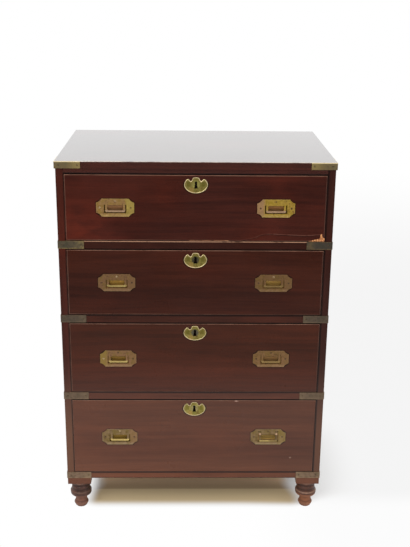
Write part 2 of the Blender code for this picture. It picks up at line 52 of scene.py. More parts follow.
class Value:
    """A number, vector, colour or shader in a node tree. What is done with it adds nodes there."""

    def __init__(self, socket):
        self.socket = socket
        self.tree = socket.id_data

    def maths(self, operation, *others):
        """Add a Math node that starts from this value."""
        inputs = dict(enumerate((self, *others)))
        return Value(add(self.tree, "Math", inputs, operation=operation).outputs[0])

    def __add__(self, other):
        return self.maths("ADD", other)

    def __sub__(self, other):
        return self.maths("SUBTRACT", other)

    def __mul__(self, other):
        return self.maths("MULTIPLY", other)

    def __truediv__(self, other):
        return self.maths("DIVIDE", other)

    def __abs__(self):
        return self.maths("ABSOLUTE")

    def most(self, other):
        """Give the greater of this value and another."""
        return self.maths("MAXIMUM", other)

    def least(self, other):
        """Give the lesser of this value and another."""
        return self.maths("MINIMUM", other)

    def flipped(self):
        """Give 1 minus this value."""
        return self * -1.0 + 1.0

    def vector(self, operation, *others):
        """Add a Vector Math node that starts from this vector."""
        inputs = dict(enumerate((self, *others)))
        made = add(self.tree, "VectorMath", inputs, operation=operation)
        return Value(made.outputs["Value" if operation == "LENGTH" else "Vector"])

    def split(self):
        """Give the three parts of this vector."""
        return [Value(part) for part in add(self.tree, "SeparateXYZ", {0: self}).outputs]

    def ramp(self, low, high, to_low=0.0, to_high=1.0):
        """Carry the value smoothly from one range to another, and hold it at the ends."""
        inputs = {"Value": self, "From Min": low, "From Max": high}
        inputs.update({"To Min": to_low, "To Max": to_high})
        made = add(self.tree, "MapRange", inputs, interpolation_type="SMOOTHSTEP")
        return Value(made.outputs["Result"])

    def band(self, low, high, soft):
        """Mask the values between two levels, with soft ends that lie within them."""
        return self.ramp(low, low + soft) * self.ramp(high, high - soft)

    def mix(self, first, second):
        """Mix two colours by this share."""
        inputs = {0: self, 6: first, 7: second}
        return Value(add(self.tree, "Mix", inputs, data_type="RGBA").outputs[2])

    def blend(self, first, second):
        """Mix two numbers by this share."""
        inputs = {0: self, 2: first, 3: second}
        return Value(add(self.tree, "Mix", inputs, data_type="FLOAT").outputs[0])

    def noise(self, stretch, detail, roughness=0.55):
        """Read a noise at this place. It is stretched along each axis, in cycles per metre."""
        stretch = stretch if isinstance(stretch, tuple) else (stretch,) * 3
        inputs = {"Vector": self.vector("MULTIPLY", stretch), "Scale": 1.0}
        inputs.update({"Detail": detail, "Roughness": roughness})
        return Value(add(self.tree, "TexNoise", inputs).outputs["Fac"])


def feed(node, inputs):
    """Set a node's inputs. Those that are given as a Value are linked to it."""
    for key, given in inputs.items():
        if isinstance(given, Value):
            given.tree.links.new(given.socket, node.inputs[key])
        else:
            node.inputs[key].default_value = given


def add(tree, kind, inputs=None, **settings):
    """Add a shader node with its settings and its inputs."""
    made = tree.nodes.new("ShaderNode" + kind)
    for name, value in settings.items():
        setattr(made, name, value)
    feed(made, inputs or {})
    return made


def start_group(name, inputs, outputs):
    """Start a node group with named sockets, each given with its kind."""
    group = bpy.data.node_groups.new(name, "ShaderNodeTree")
    for in_out, sockets in (("INPUT", inputs), ("OUTPUT", outputs)):
        for label, kind in sockets.items():
            kind = "NodeSocket" + kind
            group.interface.new_socket(name=label, in_out=in_out, socket_type=kind)
    given = group.nodes.new("NodeGroupInput").outputs
    given = {socket.name: Value(socket) for socket in given if socket.name}
    return group, given, group.nodes.new("NodeGroupOutput")


def place_group(tree, group, inputs):
    """Place a node group in a material and give its outputs."""
    made = add(tree, "Group", inputs, node_tree=group)
    return {socket.name: Value(socket) for socket in made.outputs}


def bumped(height, strength, distance):
    """Give the normal that a height makes."""
    inputs = {"Strength": strength, "Distance": distance, "Height": height}
    return Value(add(height.tree, "Bump", inputs).outputs[0])


def srgb(red, green, blue):
    """Give a colour, read as 0 to 255 on a screen, as the linear values that shaders take."""
    shares = np.array([red, green, blue]) / 255
    linear = np.where(shares <= 0.04045, shares / 12.92, ((shares + 0.055) / 1.055) ** 2.4)
    return (*linear.tolist(), 1.0)


def tones(*colours):
    """Give several screen colours as linear values."""
    return tuple(srgb(*colour) for colour in colours)


# Wood along X: broad bands and narrow streaks that wander a little, fine fibre, short dark
# pores and patches of a second colour.
grain, given, result = start_group(
    "wood_grain",
    {"Vector": "Vector", "Dark": "Color", "Light": "Color", "Patch": "Color", "Patches": "Float"},
    {"Color": "Color", "Height": "Float", "Fibre": "Float"},
)
place = given["Vector"]
drift = add(grain, "TexNoise", {"Vector": place, "Scale": 2.2, "Detail": 2.0}).outputs["Color"]
wandering = place.vector("ADD", Value(drift).vector("MULTIPLY", (0.0, 0.03, 0.03)))
pan_shade_bands = wandering.noise((0.9, 11.0, 11.0), 3.0)
streaks = wandering.noise((2.5, 85.0, 85.0), 5.0, 0.65)
fibre = place.noise((14.0, 520.0, 520.0), 3.0)
pores = place.noise((60.0, 1500.0, 1500.0), 1.0).ramp(0.60, 0.72)
figure = fibre * 0.25 + (streaks * 0.6 + pan_shade_bands * 0.6)
wood = figure.ramp(0.42, 1.02).mix(given["Dark"], given["Light"])
patches = place.noise((3.5, 8.0, 8.0), 3.0).ramp(0.48, 0.72) * given["Patches"]
wood = patches.mix(wood, given["Patch"])
wood = (pores * 0.55).mix(wood, given["Dark"])
feed(result, {"Color": wood, "Height": pores * -0.7 + fibre * 0.3, "Fibre": fibre})

# Wear along the edges of a box: of a point's distances to the box's three pairs of faces, the
# middle one is how far it is from the nearest edge. Noise breaks the worn line up.
wear, given, result = start_group(
    "edge_wear",
    {"Vector": "Vector", "Centre": "Vector", "Half": "Vector", "Width": "Float", "Break": "Float"},
    {"Mask": "Float"},
)
away = given["Vector"].vector("SUBTRACT", given["Centre"]).vector("ABSOLUTE")
x, y, z = given["Half"].vector("SUBTRACT", away).split()
middle = x.least(y).most(x.most(y).least(z))
rubbed = given["Vector"].noise(38.0, 4.0, 0.7)
reach = given["Width"] * rubbed.ramp(0.35, 0.7, 0.35, 1.6)
near_edge = (middle / reach).flipped().most(0.0).least(1.0)
broken = given["Break"] * rubbed.ramp(0.62, 0.42)
feed(result, {"Mask": near_edge * broken.flipped()})


def start_material(name):
    """Make an empty material with its Principled shader, and read the piece's coordinates."""
    made = bpy.data.materials.new(name)
    made.use_nodes = True
    tree = made.node_tree
    place = Value(add(tree, "TexCoord").outputs["Object"])
    return made, tree.nodes["Principled BSDF"], place


def edge_mask(place, node, width, gaps):
    """Mask the worn edges of a CAD node, taken as a box."""
    low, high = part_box(node)
    inputs = {"Vector": place, "Centre": (low + high) / 2, "Half": (high - low) / 2}
    inputs.update({"Width": width, "Break": gaps})
    return place_group(place.tree, wear, inputs)["Mask"]


along = {"X": (0.0, 0.0, 0.0), "Y": (0.0, 0.0, -math.pi / 2), "Z": (0.0, math.pi / 2, 0.0)}


def figured_wood(place, axis, shift, colours, patches):
    """Give the figure of a wood whose grain runs along an axis."""
    inputs = {"Vector": place, "Location": shift, "Rotation": along[axis]}
    turned = Value(add(place.tree, "Mapping", inputs).outputs[0])
    inputs = dict(zip(("Dark", "Light", "Patch"), colours))
    inputs.update({"Vector": turned, "Patches": patches})
    return place_group(place.tree, grain, inputs)


arris_width = 0.0009
old_polish = {
    "rough": (0.26, 0.38), "coat": 0.4, "coat_rough": 0.06, "specular": 0.1, "dust": 0.0,
}
waxed_top = {
    "rough": (0.10, 0.15), "coat": 1.0, "coat_rough": 0.08, "specular": 0.85, "dust": 0.10,
}


def polished_wood(name, node, axis, shift, colours, patches=0.5, gloss=old_polish):
    """Make a polished wood for one board: its grain, its wear along the edges and its gloss."""
    made, shader, place = start_material(name)
    figured = figured_wood(place, axis, shift, colours, patches)
    edges = edge_mask(place, node, arris_width, 0.8)
    haze = place.noise(7.0, 4.0)
    feed(shader, {
        "Base Color": (edges * 0.6).mix(figured["Color"], colours[3]),
        "Roughness": haze.ramp(0.3, 0.7, *gloss["rough"]) + edges * 0.2,
        "Coat Weight": (edges * 0.6).flipped() * gloss["coat"],
        "Coat Roughness": gloss["coat_rough"],
        "Specular IOR Level": gloss["specular"],
        "Sheen Weight": gloss["dust"],
        "Normal": bumped(figured["Height"], 0.2, 0.0002),
    })
    return made


def finish_node(node, material):
    """Give a CAD node its material in all its slots."""
    piece = nodes[node]
    piece.data.materials.clear()
    piece.data.materials.append(material)


def place_in(material):
    """Give the piece's coordinates in a material that is made."""
    return Value(material.node_tree.nodes["Texture Coordinate"].outputs["Object"])


def recolour(material, marks):
    """Mix the colours of some marks over a material's own, each by its mask."""
    shader = material.node_tree.nodes["Principled BSDF"]
    colour = Value(shader.inputs["Base Color"].links[0].from_socket)
    for share, over in marks:
        colour = share.mix(colour, over)
    feed(shader, {"Base Color": colour})


# The colour of painted shade in the gaps, in the grooves and under the fronts.
painted_shade_colour = srgb(20, 8, 6)
rail_lap = 0.006


def rail_marks(place, board):
    """Mask painted shade along both edges of a rail, for the gap above a drawer and the shadow that
    the front casts below it. The top rail has instead a pale upper arris, partly rubbed and partly
    a painted highlight.
    """
    low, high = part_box(board)
    level = place.split()[2]
    top = high.z - rail_lap
    lower = level.ramp(low.z + 0.0022, low.z + 0.0006) * 0.75
    if board == "divider_1":
        kept = place.noise(22.0, 4.0, 0.65).ramp(0.32, 0.5, 0.25, 1.0)
        arris = level.band(top - 0.0034, top - 0.0004, 0.0008) * kept
        return [(lower, painted_shade_colour), (arris, srgb(150, 114, 90))]
    upper = level.ramp(top - 0.0056, top - 0.0030) * 0.8
    return [(lower, painted_shade_colour), (upper, painted_shade_colour)]


def top_marks(place, board):
    """Mask the painted shade over the drawer opening, and the arris along the front of the top,
    partly rubbed and partly a painted highlight.
    """
    low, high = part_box(board)
    y, z = place.split()[1:]
    under = z.ramp(low.z + 0.0036, low.z + 0.0012) * 0.85
    arris = y.ramp(low.y + 0.0022, low.y + 0.0008) * z.ramp(high.z - 0.0012, high.z - 0.0004)
    kept = place.noise(14.0, 4.0, 0.65).ramp(0.34, 0.54, 0.2, 0.9)
    return [(under, painted_shade_colour), (arris * kept, srgb(226, 208, 188))]


def stile_marks(place, board, reach, gap_shade, faded):
    """Mask the front edge of a side, which fades towards the floor and carries painted shade from
    the gap beside the drawers.
    """
    low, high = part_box(board)
    inner = min(abs(low.x), abs(high.x))
    x, y, z = place.split()
    front = y.ramp(low.y + 0.004, low.y + 0.002)
    lower = z.ramp(0.52, 0.22) * front
    near = abs(x).ramp(inner + reach, inner + reach * 0.6) * front
    return [(lower * faded, srgb(96, 62, 42)), (near * gap_shade, painted_shade_colour)]


# Each wood has a dark, a light, a patch and a bare colour.
mahogany_colours = tones((38, 14, 9), (66, 27, 18), (82, 30, 18), (118, 78, 60))
# The right side's tones are a darker copy of the left's: painted shade.
shaded_colours = tones((34, 15, 11), (56, 26, 19), (66, 27, 19), (104, 72, 58))
upper_rail_colours = tones((30, 13, 9), (53, 23, 15), (60, 25, 15), (106, 72, 56))
middle_rail_colours = tones((38, 17, 11), (66, 31, 20), (72, 32, 20), (110, 76, 58))
lower_rail_colours = tones((56, 27, 17), (86, 45, 29), (90, 44, 27), (120, 84, 62))
base_wood_colours = tones((68, 36, 21), (100, 57, 36), (102, 54, 32), (130, 96, 74))
boards = (
    ("top_board", "X", mahogany_colours, waxed_top, top_marks, ()),
    ("case_side_left", "Z", mahogany_colours, old_polish, stile_marks, (0.0030, 0.5, 0.75)),
    ("case_side_right", "Z", shaded_colours, old_polish, stile_marks, (0.0048, 0.8, 0.55)),
    ("divider_1", "X", upper_rail_colours, old_polish, rail_marks, ()),
    ("divider_2", "X", middle_rail_colours, old_polish, rail_marks, ()),
    ("divider_3", "X", lower_rail_colours, old_polish, rail_marks, ()),
    ("base_board", "X", base_wood_colours, old_polish, rail_marks, ()),
)
for number, (board, axis, colours, gloss, marks, amounts) in enumerate(boards):
    shift = (1.37 * number, 0.61 * number, 0.43 * number)
    wood = polished_wood(f"{board}_wood", board, axis, shift, colours, gloss=gloss)
    recolour(wood, marks(place_in(wood), board, *amounts))
    finish_node(board, wood)


# The back: upright pine boards in a rebate, planed and left bare, browned by age and dust.

def bare_wood(name, axis, shift, colours):
    """Make an unpolished wood with its grain along an axis."""
    made, shader, place = start_material(name)
    figured = figured_wood(place, axis, shift, colours, 0.4)
    feed(shader, {
        "Base Color": figured["Color"],
        "Roughness": figured["Fibre"].ramp(0.3, 0.7, 0.62, 0.8),
        "Normal": bumped(figured["Height"], 0.4, 0.0003),
    })
    return made


pine_colours = tones((112, 78, 46), (176, 134, 86), (134, 98, 62))
finish_node("back_panel", bare_wood("back_wood", "Z", (0.2, 0.3, 0.1), pine_colours))


# The feet: turned from mahogany under a square block, with a peg up into the base. The polish is
# worn from the ball of the foot, and the lower edge of its bulb is pale, partly worn and partly a
# painted reflection of the floor.

foot_height = 0.0889
bulb_radius = 0.0315
block_half = 0.0345
block_low = 0.0889
block_high = 0.1096
block_edge = 0.0009

# How far down the foot, and how wide, as shares of its height and of the bulb's radius.
foot_profile = np.array((
    (1.000, 0.495), (0.978, 0.550), (0.956, 0.585), (0.933, 0.607), (0.905, 0.648), (0.885, 0.678),
    (0.865, 0.680), (0.844, 0.650), (0.822, 0.612), (0.790, 0.572), (0.750, 0.550), (0.690, 0.550),
    (0.630, 0.570), (0.590, 0.630), (0.565, 0.750), (0.550, 0.890), (0.533, 0.960), (0.508, 0.990),
    (0.467, 1.002), (0.422, 1.010), (0.398, 1.000), (0.378, 0.968), (0.356, 0.930), (0.325, 0.895),
    (0.289, 0.873), (0.240, 0.862), (0.205, 0.850), (0.185, 0.805), (0.160, 0.780), (0.142, 0.800),
    (0.125, 0.855), (0.080, 0.865), (0.000, 0.860),
))

# The marks on a foot, each as its lower and upper level and the softness of its ends. The three
# grooves carry painted shade and the shoulder painted light.
rim_band = (0.0515, 0.0575, 0.0016)
tread_band = (0.0085, 0.0130, 0.0012)
upper_groove = (0.0725, 0.0770, 0.0010)
middle_groove = (0.0600, 0.0665, 0.0020)
lower_groove = (0.0150, 0.0205, 0.0016)
lit_shoulder = (0.0810, 0.0835)


def surface(name, points, wrap=False, caps=False, crease=40.0):
    """Skin a grid of points, the last two axes before the coordinates being its rows and columns.

    Each face joins four neighbours. wrap closes every row on itself and caps closes the first
    and last rows. Edges that bend by more than the crease, in degrees, stay sharp.
    """
    index = np.arange(points[..., 0].size).reshape(points.shape[:-1])
    right = np.roll(index, -1, axis=-1)
    last = index.shape[-1] if wrap else index.shape[-1] - 1
    here, there = index[..., :last], right[..., :last]
    corners = (here[..., :-1, :], there[..., :-1, :], there[..., 1:, :], here[..., 1:, :])
    faces = np.stack(corners, axis=-1).reshape(-1, 4).tolist()
    if caps:
        faces.append(index[0, ::-1].tolist())
        faces.append(index[-1].tolist())
    mesh = bpy.data.meshes.new(name)
    mesh.from_pydata(points.reshape(-1, 3).tolist(), [], faces)
    mesh.shade_smooth()
    mesh.set_sharp_from_angle(angle=math.radians(crease))
    made = bpy.data.objects.new(name, mesh)
    bpy.context.collection.objects.link(made)
    return made


def rounded(profile, times):
    """Cut the corners of a line of points: each span gives points a quarter in from its ends."""
    for _ in range(times):
        near = 0.75 * profile[:-1] + 0.25 * profile[1:]
        far = 0.25 * profile[:-1] + 0.75 * profile[1:]
        cut = np.stack([near, far], axis=1).reshape(-1, profile.shape[1])
        profile = np.concatenate([profile[:1], cut, profile[-1:]])
    return profile


def turned(name, profile, x, y, steps=64):
    """Turn a profile of radius and level round an upright axis: x + r cos t, y + r sin t, z."""
    angles = np.linspace(0, 2 * np.pi, steps, endpoint=False)
    radius, level = profile[:, :1], profile[:, 1:]
    rings = (x + radius * np.cos(angles), y + radius * np.sin(angles), level + 0 * angles)
    return surface(name, np.stack(rings, axis=-1), wrap=True, caps=True)


def block(name, low, high, edge):
    """Make a block between two corners, with its edges rounded off."""
    corners = np.array([low, high])
    grid = np.stack(np.meshgrid([0, 1], [0, 1], [0, 1], indexing="ij"), axis=-1).reshape(-1, 3)
    points = np.take_along_axis(corners, grid, axis=0)
    faces = [(0, 1, 3, 2), (4, 6, 7, 5), (0, 4, 5, 1), (2, 3, 7, 6), (0, 2, 6, 4), (1, 5, 7, 3)]
    mesh = bpy.data.meshes.new(name)
    mesh.from_pydata(points.tolist(), [], faces)
    mesh.shade_smooth()
    made = bpy.data.objects.new(name, mesh)
    bpy.context.collection.objects.link(made)
    bevel = made.modifiers.new("edges", "BEVEL")
    bevel.width = edge
    bevel.segments = 3
    bevel.harden_normals = True
    return made


def foot_wood(name, colours, ball_top, ball_and_lip_share, rim_and_tread_share):
    """Make the wood of a foot, whose polish is rubbed from its ball, its ring and its tread. The
    ring is partly a painted highlight, the lower edge of the bulb partly a painted reflection of
    the floor, the grooves carry painted shade and the shoulder painted light.
    """
    made, shader, place = start_material(name)
    figured = figured_wood(place, "Z", (0.0, 0.0, 0.0), colours, 0.5)
    level = place.split()[2]
    scuffs = place.noise((60.0, 60.0, 90.0), 4.0, 0.65)
    ball = level.ramp(ball_top, ball_top - 0.0025) * scuffs.ramp(0.3, 0.6, 0.6, 1.0)
    rim = level.band(*rim_band) * scuffs.ramp(0.35, 0.6, 0.5, 1.0)
    tread = level.band(*tread_band) * scuffs.ramp(0.4, 0.6, 0.4, 1.0)
    # Painted shade in the grooves and under the block.
    groove_shade = level.band(*upper_groove).most(level.band(*middle_groove))
    groove_shade = groove_shade.most(level.band(*lower_groove) * 0.55)
    colour = (ball * ball_and_lip_share).mix(figured["Color"], colours[3])
    colour = (rim * rim_and_tread_share).mix(colour, srgb(160, 126, 104))
    colour = (tread * rim_and_tread_share).mix(colour, srgb(158, 122, 96))
    colour = (groove_shade * 0.5).mix(colour, painted_shade_colour)
    # Painted light on the shoulder under the block, where the block's shade falls.
    colour = (level.ramp(*lit_shoulder) * 0.6).mix(colour, srgb(156, 118, 98))
    feed(shader, {
        "Base Color": colour,
        "Roughness": ball.most(rim) * 0.2 + 0.42,
        "Specular IOR Level": 0.22,
        "Coat Weight": 0.12,
        "Coat Roughness": 0.25,
        "Normal": bumped(figured["Height"] + scuffs, 0.3, 0.0004),
    })
    return made


dark_foot = tones((38, 22, 17), (82, 52, 42), (84, 46, 36), (118, 78, 62))
warm_foot = tones((40, 22, 15), (86, 52, 38), (90, 50, 33), (136, 84, 54))
foot_finishes = {
    "left": foot_wood("left_foot_wood", dark_foot, 0.0455, 0.85, 0.18),
    "right": foot_wood("right_foot_wood", warm_foot, 0.0485, 0.75, 0.5),
}
radii, levels = bulb_radius * foot_profile[:, 1], foot_height * (1 - foot_profile[:, 0])
profile = rounded(np.stack([radii, levels], axis=1), 2)
for foot in ("foot_front_left", "foot_front_right", "foot_back_left", "foot_back_right"):
    low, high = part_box(foot)
    x, y = (low.x + high.x) / 2, (low.y + high.y) / 2
    turning = turned(f"{foot}_turning", profile, x, y)
    turning.data.materials.append(foot_finishes[foot.split("_")[-1]])
    near = (x - block_half, y - block_half, block_low)
    far = (x + block_half, y + block_half, block_high)
    square = block(f"{foot}_block", near, far, block_edge)
    wood = polished_wood(f"{foot}_block_wood", foot, "X", (x, y, 0.7), base_wood_colours)
    square.data.materials.append(wood)
    for piece in (turning, square):
        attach(piece, "case")
    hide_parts(foot)
    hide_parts(foot)


# The drawer fronts: mahogany boards with a raised bead all round, whose crest is pale, partly worn
# and partly a painted highlight that is strongest along the top. Each board has its own figure.

case_front = -0.2545
plate_half_width = 0.0515
plate_half_height = 0.025
plate_corner = (0.0145, 0.011)
dirt_width = 0.0032
dirt_colour = srgb(34, 15, 5)

# Dirt in the polish round a handle plate: how far a point lies outside the plate's outline, whose
# corners are cut, is the greatest of its distances past the sides, the ends and the corner lines.
plate_dirt, given, result = start_group(
    "plate_dirt",
    {"Vector": "Vector", "Across": "Float", "Level": "Float", "Width": "Float"},
    {"Mask": "Float"},
)
x, _, z = given["Vector"].split()
across = abs(abs(x) - given["Across"]) - plate_half_width
rise = abs(z - given["Level"]) - plate_half_height
slant = math.hypot(*plate_corner)
corner = rise * (plate_corner[0] / slant) + across * (plate_corner[1] / slant)
corner = corner + plate_corner[0] * plate_corner[1] / slant
outside = corner.most(across.most(rise))
smears = given["Vector"].noise(60.0, 3.0).ramp(0.35, 0.6, 0.35, 1.0)
feed(result, {"Mask": outside.ramp(given["Width"], given["Width"] * 0.25) * smears})


def from_point(place, x, z):
    """Give a point's way from a point of the case's front."""
    return place.vector("ADD", (-x, -case_front, -z))


def bead_line(place, low, high):
    """Mask the crest of the bead, partly worn and partly a painted highlight from above: in full
    along the top and in part elsewhere, broken by noise.
    """
    x, y, z = place.split()
    crest = y.ramp(case_front - 0.0002, case_front - 0.0008)
    sides = x.ramp(low.x + 0.1, high.x - 0.1, 0.42, 0.2)
    held = z.ramp(high.z - 0.006, high.z - 0.003).blend(sides, 0.85)
    return crest * held * place.noise(16.0, 4.0, 0.65).ramp(0.34, 0.60, 0.45, 1.0)


def front_rim(place, low, high):
    """Mask the outermost millimetre of a front, which takes painted shade from the gap round it."""
    x, _, z = place.split()
    side = abs(x).ramp(high.x - 0.0013, high.x - 0.0007)
    foot = z.ramp(low.z + 0.0016, low.z + 0.0009)
    head = z.ramp(high.z - 0.0008, high.z - 0.0004)
    return side.most(foot.most(head))


def keyhole_dirt(place, level):
    """Mask a ring of dirt round the lower part of an escutcheon, taken as an ellipse."""
    moved = from_point(place, 0.0, level)
    apart = moved.vector("MULTIPLY", (1 / 0.0330, 0.0, 1 / 0.0250)).vector("LENGTH")
    return apart.ramp(1.12, 1.02) * moved.split()[2].ramp(0.012, 0.002)


def spot(place, x, z, radius, squeeze):
    """Mask a small ragged chip round a point of the front, which is wider than high."""
    apart = from_point(place, x, z).vector("MULTIPLY", (squeeze, 1.0, 1.0)).vector("LENGTH")
    ragged = place.noise(400.0, 2.0) * radius + apart
    return ragged.ramp(radius * 1.5, radius * 1.1)


# The split in the top drawer's front, along its lower edge: where it starts and ends, and its
# course as shares of its length and of its rise.
front_foot = 0.8496
split_start, split_end = 0.1155, 0.3400
split_base, split_span = 0.8500, 0.0250
split_course = (
    (0.0, 0.0), (1.0, 0.748),
    (0.212, 0.40), (0.358, 0.80), (0.530, 0.76), (0.702, 0.688), (0.788, 0.656),
)
wedge_start, wedge_slope = 0.3124, 0.24
stroke_at, stroke_half = 0.3462, 0.0054


def split_marks(place):
    """Make the split that rises from the lower edge of the top drawer, and the chip at its end."""
    x, _, z = place.split()
    share = (x - split_start) / (split_end - split_start)
    curve = add(place.tree, "FloatCurve", {"Value": share})
    points = curve.mapping.curves[0].points
    points[0].location, points[-1].location = split_course[:2]
    for along_split, up_split in split_course[2:]:
        points.new(along_split, up_split)
    curve.mapping.update()
    above = z - (Value(curve.outputs[0]) * split_span + split_base)
    within = x.ramp(split_start, split_start + 0.01) * x.ramp(split_end + 0.012, split_end)
    pale = abs(above).ramp(0.0013, 0.0004)
    dark = abs(above + 0.0018).ramp(0.0014, 0.0004)
    broken = place.noise(45.0, 3.0).ramp(0.38, 0.58, 0.15, 0.6)
    ragged = (place.noise(260.0, 3.0) - 0.5) * 0.006
    wedge_top = (x - wedge_start) * wedge_slope + split_base
    wedge = (z - wedge_top + ragged).ramp(0.0006, -0.0004) * x.ramp(0.3100, 0.3140)
    half = (z - front_foot) * -0.2 + stroke_half
    stroke = (abs(x - stroke_at) - half + ragged).ramp(0.0006, -0.0004) * z.ramp(0.8715, 0.8690)
    raw = place.noise(300.0, 2.0).ramp(0.36, 0.60).mix(srgb(206, 148, 98), srgb(128, 74, 42))
    splinter = x.band(-0.02, 0.094, 0.006) * z.band(front_foot, front_foot + 0.0026, 0.0006)
    splinter = splinter * place.noise(60.0, 3.0).ramp(0.40, 0.56)
    tip = x.band(0.078, 0.0925, 0.004) * z.band(front_foot, front_foot + 0.0018, 0.0005)
    return [
        (dark * within * 0.7, srgb(26, 12, 8)),
        (pale * within * broken, srgb(104, 68, 56)),
        (wedge.most(stroke) * 0.9, raw),
        (splinter * 0.5, srgb(150, 104, 72)),
        (tip, srgb(176, 128, 92)),
    ]


def front_marks(place, number, low, high):
    """Make the bead's pale line, the painted shade in the gap round the front, the dirt round the
    brasses, and the marks of age.
    """
    plate_low, plate_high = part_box(f"drawer_{number}_handle_plate_right")
    plate = (plate_low + plate_high) / 2
    inputs = {"Vector": place, "Across": plate.x, "Level": plate.z, "Width": dirt_width}
    shield_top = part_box(f"drawer_{number}_escutcheon")[1].z
    made = [
        (bead_line(place, low, high), srgb(116, 82, 66)),
        (front_rim(place, low, high), painted_shade_colour),
        (place_group(place.tree, plate_dirt, inputs)["Mask"], dirt_colour),
        (keyhole_dirt(place, shield_top - 0.0195), dirt_colour),
    ]
    x, _, z = place.split()
    if number == 1:
        faded = x.ramp(-0.12, -0.30) * z.ramp(1.00, 0.90, 0.1, 1.0)
        faded = faded * place.noise((6.0, 6.0, 14.0), 3.0).ramp(0.35, 0.6, 0.05, 0.3)
        return [(faded, srgb(116, 42, 24))] + made + split_marks(place)
    if number == 4:
        # Drawer 4 is painted darker towards its top and right end and paler towards its foot:
        # painted shade and painted light, for the light thrown up from the floor.
        upper = z.ramp(0.235, 0.32) * x.ramp(-0.1, 0.1, 0.14, 0.26)
        shaded = upper.most(x.ramp(0.2, 0.29) * 0.14)
        lower = z.ramp(0.20, 0.15) * 0.09
        return [(shaded, painted_shade_colour), (lower, srgb(150, 98, 72))] + made + [
            (spot(place, 0.1229, 0.3645, 0.0023, 0.34), srgb(160, 128, 114)),
            (spot(place, 0.2867, 0.1785, 0.0030, 0.7), srgb(112, 86, 72)),
        ]
    return made


bead_worn = (112, 76, 60)
# Drawer 4's tones are lighter than the others', partly painted light for the light that the floor
# throws up on it.
front_looks = (
    (tones((37, 13, 9), (64, 26, 17), (80, 29, 17), bead_worn), 0.45),
    (tones((36, 13, 7), (61, 26, 15), (70, 27, 15), bead_worn), 0.25),
    (tones((43, 19, 10), (70, 31, 17), (76, 32, 17), bead_worn), 0.25),
    (tones((66, 34, 21), (92, 51, 32), (97, 51, 31), bead_worn), 0.3),
)
for number, (colours, patches) in enumerate(front_looks, 1):
    front = f"drawer_{number}_front"
    shift = (0.83 * number, 0.0, 0.27 * number)
    wood = polished_wood(f"{front}_wood", front, "X", shift, colours, patches)
    recolour(wood, front_marks(place_in(wood), number, *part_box(front)))
    finish_node(front, wood)


# The drawer linings and bottoms: cedar sides and back, dovetailed to the front, and a pine
# bottom in grooves, planed and left bare.

cedar_colours = tones((120, 76, 48), (176, 124, 84), (146, 88, 56))
lining_finish = bare_wood("lining_wood", "Y", (0.4, 0.1, 0.0), cedar_colours)
bottom_finish = bare_wood("bottom_wood", "X", (0.1, 0.5, 0.2), pine_colours)
for number in range(1, 5):
    finish_node(f"drawer_{number}_box", lining_finish)
    finish_node(f"drawer_{number}_bottom", bottom_finish)


# The locks: wrought iron cases let into the backs of the fronts, with sliding bolts, dull and
# lightly rusted.

lock_finish, shader, place = start_material("lock_iron")
rust = place.noise(90.0, 5.0, 0.65)
feed(shader, {
    "Base Color": rust.ramp(0.45, 0.68).mix(srgb(78, 72, 68), srgb(96, 60, 40)),
    "Roughness": rust.ramp(0.4, 0.7, 0.45, 0.8),
    "Metallic": rust.ramp(0.5, 0.7, 0.9, 0.1),
})
for number in range(1, 5):
    finish_node(f"drawer_{number}_lock", lock_finish)
    finish_node(f"drawer_{number}_lock_bolt", lock_finish)


# The handles: cast brass plates let in flush, each with a pan and two slots in which its bail lies.
# The lacquer has gone, so the brass is mottled olive and brown and bright where hands rub it. Each
# pan's colour is set against the shade it lies in, and is painted paler than the plate on drawers 2
# to 4: painted light.

# Tarnish: cloudy patches of a second and third colour over the metal, with small dark spots.
tarnish, given, result = start_group(
    "brass_tarnish",
    {"Vector": "Vector", "Metal": "Color", "Olive": "Color", "Brown": "Color", "Spread": "Float"},
    {"Color": "Color", "Roughness": "Float", "Height": "Float"},
)
place = given["Vector"]
clouds = place.noise(75.0, 4.0, 0.6)
stains = place.vector("ADD", (3.1, 7.7, 5.3)).noise(120.0, 5.0, 0.7)
spots = place.noise(700.0, 2.0)
reach = given["Spread"] * 0.2
brown_share = (stains + reach).ramp(0.58, 0.74)
metal = (clouds + reach).ramp(0.50, 0.68).mix(given["Metal"], given["Olive"])
metal = brown_share.mix(metal, given["Brown"])
metal = spots.ramp(0.66, 0.76, 0.0, 0.6).mix(metal, given["Brown"])
feed(result, {
    "Color": metal,
    "Roughness": brown_share * 0.2 + clouds.ramp(0.3, 0.7, 0.32, 0.46),
    "Height": spots * 0.5 + clouds,
})


def start_brass(name, colours, spread, metallic, shift=(0.0, 0.0, 0.0)):
    """Start a tarnished brass, whose colours are metal, olive and brown."""
    made, shader, place = start_material(name)
    inputs = dict(zip(("Metal", "Olive", "Brown"), colours))
    inputs.update({"Vector": place.vector("ADD", shift), "Spread": spread})
    aged = place_group(place.tree, tarnish, inputs)
    feed(shader, {"Roughness": aged["Roughness"], "Metallic": metallic})
    return made, shader, place, aged


def old_brass(name, node, colours, spread, edge_width, shift, metallic=0.75):
    """Make tarnished brass for one casting or strip, with the fourth colour along its edges."""
    made, shader, place, aged = start_brass(name, colours, spread, metallic, shift)
    colour = edge_mask(place, node, edge_width, 0.5).mix(aged["Color"], colours[3])
    feed(shader, {"Base Color": colour, "Normal": bumped(aged["Height"], 0.3, 0.0002)})
    return made


slot_outside = 0.0262
slot_edge = 0.0006
bar_level = -0.0078


def from_plate(place, plate):
    """Give a point's way across and up from a handle plate's centre, and its depth in the front."""
    low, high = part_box(plate)
    across, depth, up = from_point(place, (low.x + high.x) / 2, (low.z + high.z) / 2).split()
    return across, up, depth


